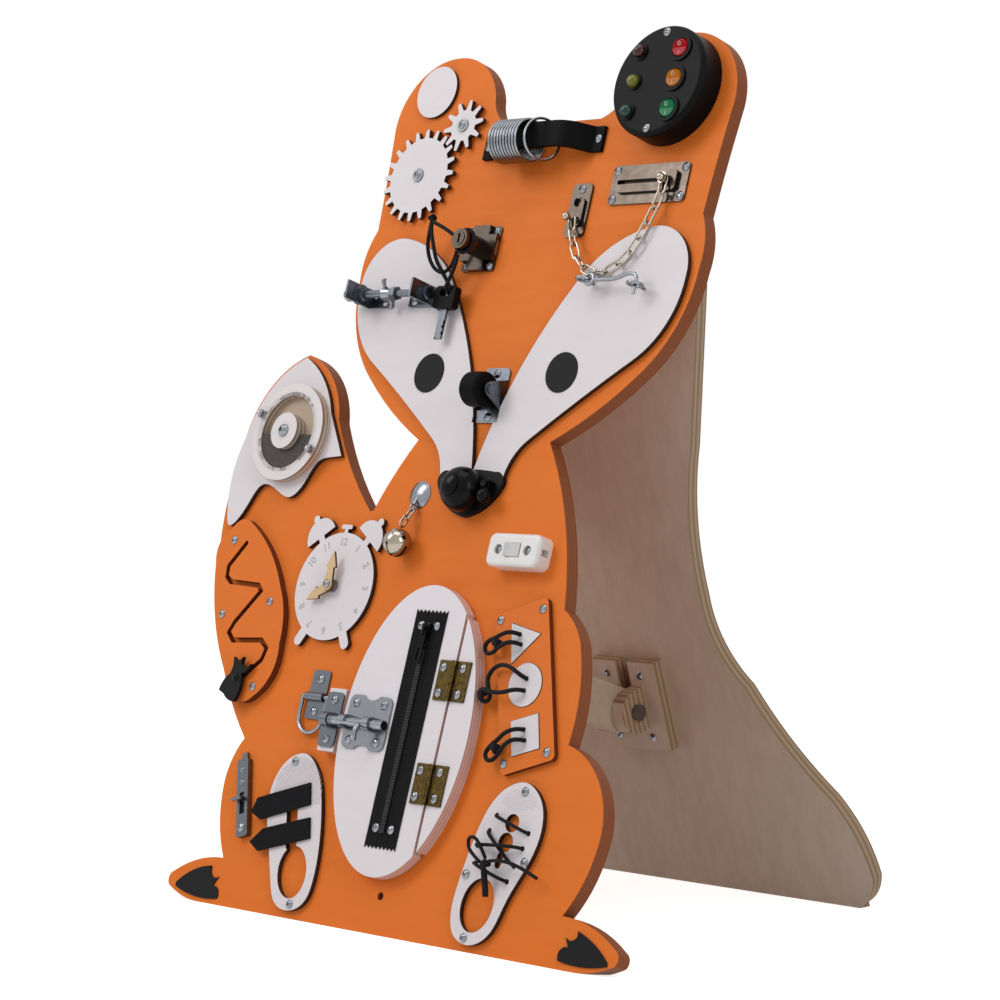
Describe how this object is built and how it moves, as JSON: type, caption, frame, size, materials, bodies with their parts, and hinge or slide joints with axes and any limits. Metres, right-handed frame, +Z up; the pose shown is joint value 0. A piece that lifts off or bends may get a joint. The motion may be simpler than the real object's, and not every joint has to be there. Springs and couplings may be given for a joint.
{
  "type": "wooden busy board",
  "caption": "Freestanding wooden busy board cut as a sitting fox, with gears, lamps, locks, bells, a clock, a hinged door, a maze and shape puzzles on its front.",
  "frame": {"origin": "middle of the front board's flat sole, on the floor", "axes": "+Z up, -Y out from the board's face towards the viewer, +X to the viewer's right"},
  "size_m": [0.5138, 0.3522, 0.661],
  "materials": {
    "orange_board": "orange paint over birch plywood",
    "bare_plywood": "bare birch plywood, sanded",
    "white_plywood": "white paint over thin plywood, laser-cut edges",
    "black_plywood": "black paint over thin plywood",
    "black_strap": "matte black rubbery strap",
    "bright_steel": "zinc-plated steel",
    "grey_steel": "galvanised steel",
    "lock_nickel": "nickel-plated, satin",
    "chrome": "polished chrome plating",
    "antique_brass": "antique brass plating",
    "black_plastic": "matte black plastic",
    "gloss_black": "gloss black enamel",
    "white_plastic": "white plastic",
    "grey_plastic": "light grey plastic",
    "red_plastic": "red translucent plastic",
    "amber_plastic": "amber translucent plastic",
    "green_plastic": "green translucent plastic",
    "light_wood": "bare thin plywood",
    "brown_laminate": "laminated wood edge",
    "clear_window": "clear acrylic",
    "black_grain": "small dark grains",
    "black_cord": "braided black cord",
    "black_webbing": "black hook-and-loop webbing",
    "zip_tape": "woven zipper tape"
  },
  "bodies": {
    "root": {"front_board": "orange_board", "back_blocks": "bare_plywood", "white_overlays": "white_plywood", "black_overlays": "black_plywood", "handle_strap": "black_strap", "light_housing": "black_plastic", "battery_pack": "black_plastic", "nickel_plates": "lock_nickel", "door_chain": "chrome", "screw_eyes": "bright_steel", "steel_brackets": "grey_steel", "bell_body": "gloss_black", "switch_body": "white_plastic", "orange_plates": "orange_board", "clock_face": "white_plywood", "door_segment": "white_plywood", "door_hinge_fixed": "antique_brass", "screws": "bright_steel", "key": "black_plastic", "key_cord": "black_cord", "shoe_lace": "black_cord", "tail_grains": "black_grain"},
    "leg": {"rear_panel": "bare_plywood", "leg_hardware": "grey_steel", "leg_bracket": "bare_plywood"},
    "strut_arm": {"strut": "bare_plywood"},
    "big_gear": {"gear_large": "orange_board"},
    "little_gear": {"gear_small": "white_plywood"},
    "ring_stack": {"handle_rings": "bright_steel"},
    "red_switch": {"rocker_red": "red_plastic"},
    "amber_switch": {"rocker_amber": "amber_plastic"},
    "green_switch": {"rocker_green": "green_plastic"},
    "wire_hook": {"hook": "bright_steel"},
    "lock_plug": {"lock_core": "lock_nickel"},
    "lock_tongue": {"lock_bolt": "bright_steel"},
    "winged_nut": {"wing_nut": "bright_steel"},
    "caster": {"caster_wheel": "black_strap"},
    "bell_thumb": {"bell_lever": "gloss_black"},
    "jingle": {"jingle_bell": "chrome"},
    "switch_key": {"switch_rocker": "grey_plastic"},
    "spinner": {"tail_wheel": "white_plywood", "tail_window": "clear_window"},
    "cat": {"cat_slider": "black_plywood"},
    "minute": {"minute_hand": "light_wood"},
    "hour": {"hour_hand": "light_wood"},
    "ring_pull": {"d_ring": "bright_steel"},
    "door_leaf": {"door": "white_plywood", "door_hardware": "bright_steel", "door_hinge_moving": "antique_brass", "zipper_tape": "zip_tape"},
    "door_rod": {"barrel_rod": "bright_steel"},
    "zip_runner": {"zip_slider": "black_plastic"},
    "triangle": {"puzzle_triangle": "white_plywood", "triangle_cord": "black_cord"},
    "circle": {"puzzle_circle": "white_plywood", "circle_cord": "black_cord"},
    "square": {"puzzle_square": "white_plywood", "square_cord": "black_cord"},
    "flush_bar": {"flush_slide": "grey_steel"},
    "strap_pair": {"shoe_straps": "black_webbing"}
  },
  "joints": [
    {"name": "leg_fold", "type": "hinge", "parent": "root", "child": "leg", "pos_m": [0, 0.18343, 0.50733], "axis": [-1, 0, 0], "range_deg": [0, 14]},
    {"name": "strut_swing", "type": "hinge", "parent": "leg", "child": "strut_arm", "pos_m": [0, 0.25952, 0.14227], "axis": [-1, 0, 0], "range_deg": [0, 54.7]},
    {"name": "gear_large_spin", "type": "hinge", "parent": "root", "child": "big_gear", "pos_m": [-0.133, 0.17022, 0.56298], "axis": [0, -0.9527, 0.304], "continuous": true},
    {"name": "gear_small_spin", "type": "hinge", "parent": "root", "child": "little_gear", "pos_m": [-0.09472, 0.18223, 0.60061], "axis": [0, -0.9527, 0.304], "continuous": true},
    {"name": "rings_slide", "type": "slide", "parent": "root", "child": "ring_stack", "axis": [1, 0, 0], "range_m": [0, 0.012]},
    {"name": "red_rocker_press", "type": "hinge", "parent": "root", "child": "red_switch", "pos_m": [0.1355, 0.1773, 0.64271], "axis": [-1, 0, 0], "range_deg": [0, 20]},
    {"name": "amber_rocker_press", "type": "hinge", "parent": "root", "child": "amber_switch", "pos_m": [0.1355, 0.17015, 0.62032], "axis": [-1, 0, 0], "range_deg": [0, 20]},
    {"name": "green_rocker_press", "type": "hinge", "parent": "root", "child": "green_switch", "pos_m": [0.1355, 0.16301, 0.59793], "axis": [-1, 0, 0], "range_deg": [0, 20]},
    {"name": "hook_swing", "type": "hinge", "parent": "root", "child": "wire_hook", "pos_m": [0.088, 0.1296, 0.47518], "axis": [0, -0.9527, 0.304], "range_deg": [0, 100]},
    {"name": "lock_turn", "type": "hinge", "parent": "root", "child": "lock_plug", "pos_m": [-0.0465, 0.13472, 0.50766], "axis": [0, -0.9527, 0.304], "range_deg": [0, 90]},
    {"name": "lock_throw", "type": "slide", "parent": "root", "child": "lock_tongue", "axis": [1, 0, 0], "range_m": [0, 0.0061]},
    {"name": "wing_spin", "type": "hinge", "parent": "root", "child": "winged_nut", "pos_m": [-0.122, 0.12576, 0.46905], "axis": [1, 0, 0], "continuous": true},
    {"name": "caster_spin", "type": "hinge", "parent": "root", "child": "caster", "pos_m": [0.0011, 0.10186, 0.39481], "axis": [1, 0, 0], "continuous": true},
    {"name": "bell_lever_press", "type": "hinge", "parent": "root", "child": "bell_thumb", "pos_m": [0.0235, 0.08884, 0.32443], "axis": [0, -0.9527, 0.304], "range_deg": [0, 25], "stiffness_Nm_per_rad": 0.02},
    {"name": "jingle_swing", "type": "hinge", "parent": "root", "child": "jingle", "pos_m": [-0.0535, 0.08552, 0.30282], "axis": [0, -0.9527, 0.304], "range_deg": [-30, 30]},
    {"name": "switch_press", "type": "hinge", "parent": "root", "child": "switch_key", "pos_m": [0.0696, 0.06951, 0.27864], "axis": [0, -0.304, -0.9527], "range_deg": [0, 14]},
    {"name": "wheel_spin", "type": "hinge", "parent": "root", "child": "spinner", "pos_m": [-0.209, 0.10015, 0.35987], "axis": [0, -0.9527, 0.304], "continuous": true},
    {"name": "cat_slide", "type": "slide", "parent": "root", "child": "cat", "axis": [0.7544, 0.1996, 0.6253], "range_m": [0, 0.024]},
    {"name": "minute_turn", "type": "hinge", "parent": "root", "child": "minute", "pos_m": [-0.122, 0.0625, 0.24519], "axis": [0, -0.9527, 0.304], "continuous": true},
    {"name": "hour_turn", "type": "hinge", "parent": "root", "child": "hour", "pos_m": [-0.122, 0.0625, 0.24519], "axis": [0, -0.9527, 0.304], "continuous": true},
    {"name": "ring_pull_swing", "type": "hinge", "parent": "root", "child": "ring_pull", "pos_m": [-0.1145, 0.04173, 0.16102], "axis": [-1, 0, 0], "range_deg": [0, 150]},
    {"name": "door_swing", "type": "hinge", "parent": "root", "child": "door_leaf", "pos_m": [0.0351, 0.02759, 0.14632], "axis": [0, 0.304, 0.9527], "range_deg": [0, 110]},
    {"name": "rod_slide", "type": "slide", "parent": "door_leaf", "child": "door_rod", "axis": [-1, 0, 0], "range_m": [0, 0.026]},
    {"name": "zip_slide", "type": "slide", "parent": "door_leaf", "child": "zip_runner", "axis": [0, -0.304, -0.9527], "range_m": [0, 0.137]},
    {"name": "triangle_lift", "type": "slide", "parent": "root", "child": "triangle", "axis": [0, -0.9527, 0.304], "range_m": [0, 0.025]},
    {"name": "circle_lift", "type": "slide", "parent": "root", "child": "circle", "axis": [0, -0.9527, 0.304], "range_m": [0, 0.025]},
    {"name": "square_lift", "type": "slide", "parent": "root", "child": "square", "axis": [0, -0.9527, 0.304], "range_m": [0, 0.025]},
    {"name": "flush_slide_move", "type": "slide", "parent": "root", "child": "flush_bar", "axis": [0.3024, -0.2898, -0.9081], "range_m": [0, 0.009]},
    {"name": "straps_peel", "type": "hinge", "parent": "root", "child": "strap_pair", "pos_m": [-0.0956, 0.02055, 0.09892], "axis": [-0.2954, 0.2905, 0.9101], "range_deg": [0, 100]}
  ],
  "couplings": [
    {"joint": "gear_small_spin", "follows": "gear_large_spin", "ratio": -2},
    {"joint": "strut_swing", "follows": "leg_fold", "ratio": 3.9},
    {"joint": "lock_throw", "follows": "lock_turn", "m_per_rad": 0.0038197}
  ]
}
